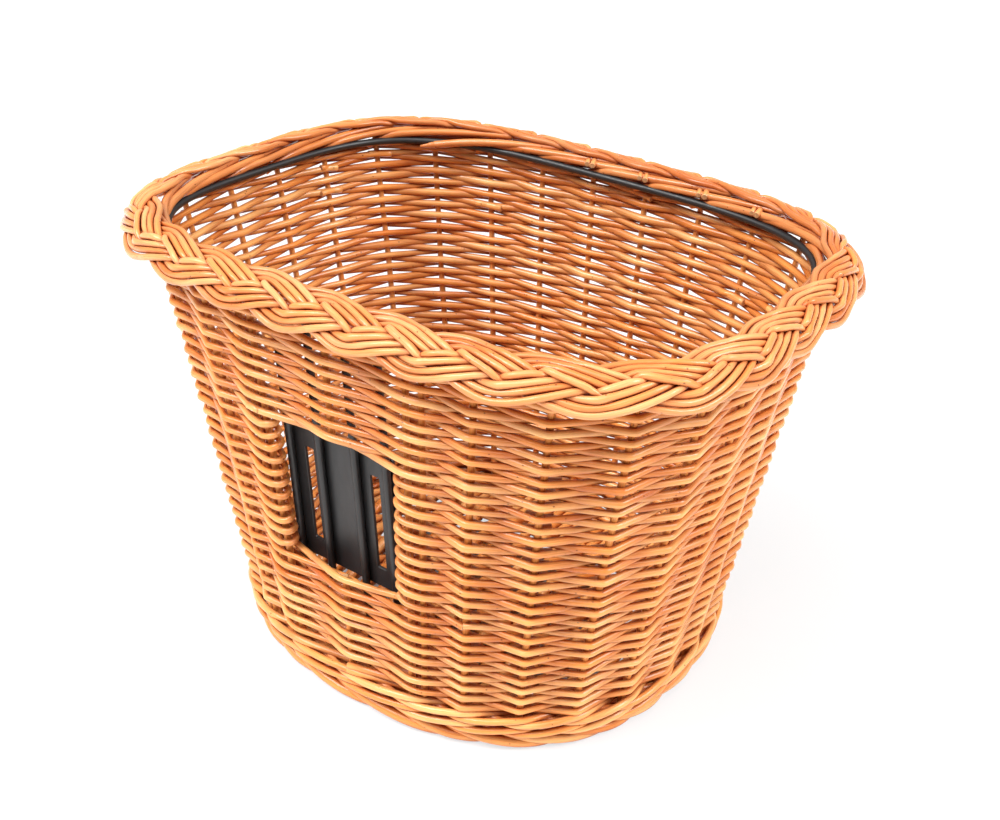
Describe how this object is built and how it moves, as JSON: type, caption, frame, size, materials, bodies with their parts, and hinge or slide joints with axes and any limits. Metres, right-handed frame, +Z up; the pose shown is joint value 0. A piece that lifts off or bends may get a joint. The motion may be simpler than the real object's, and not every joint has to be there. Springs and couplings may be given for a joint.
{
  "type": "rattan bicycle basket",
  "caption": "Woven rattan handlebar basket with a flared oval body, plaited border and a black steel wire frame whose slotted plate shows through a window in the back wall.",
  "frame": {"origin": "on the floor under the middle of the basket's outline", "axes": "+X along the long side, +Y forward away from the handlebar, +Z up; the back wall with the window and the slotted plate faces -Y"},
  "size_m": [0.4, 0.3056, 0.2674],
  "materials": {
    "border_willow": "satin varnish over pale peeled rods",
    "weave_willow": "satin varnish over peeled rods",
    "stake_willow": "satin varnish over darker rods",
    "black_steel": "satin black powder coat"
  },
  "bodies": {
    "root": {"border_strand_1": "border_willow", "border_strand_2": "border_willow", "border_strand_3": "border_willow", "lower_weave_1": "weave_willow", "lower_weave_2": "weave_willow", "side_weave_1": "weave_willow", "side_weave_2": "weave_willow", "upper_weave_1": "weave_willow", "upper_weave_2": "weave_willow", "wale_rod_1": "weave_willow", "wale_rod_2": "weave_willow", "wale_rod_3": "weave_willow", "stake_01": "stake_willow", "stake_02": "stake_willow", "stake_03": "stake_willow", "stake_04": "stake_willow", "stake_05": "stake_willow", "stake_06": "stake_willow", "stake_07": "stake_willow", "stake_08": "stake_willow", "stake_09": "stake_willow", "stake_10": "stake_willow", "stake_11": "stake_willow", "stake_12": "stake_willow", "stake_13": "stake_willow", "stake_14": "stake_willow", "stake_15": "stake_willow", "stake_16": "stake_willow", "stake_17": "stake_willow", "stake_18": "stake_willow", "stake_19": "stake_willow", "stake_20": "stake_willow", "stake_21": "stake_willow", "stake_22": "stake_willow", "stake_23": "stake_willow", "stake_24": "stake_willow", "stake_25": "stake_willow", "stake_26": "stake_willow", "centre_stake_lower": "stake_willow", "centre_stake_upper": "stake_willow", "foot_border": "weave_willow", "base_stick_1": "stake_willow", "base_stick_2": "stake_willow", "base_stick_3": "stake_willow", "base_stick_4": "stake_willow", "base_stick_5": "stake_willow", "base_weave": "weave_willow", "rim_hoop": "black_steel", "upright_outer_left": "black_steel", "upright_inner_left": "black_steel", "upright_inner_right": "black_steel", "upright_outer_right": "black_steel", "mount_plate": "black_steel"}
  },
  "joints": []
}
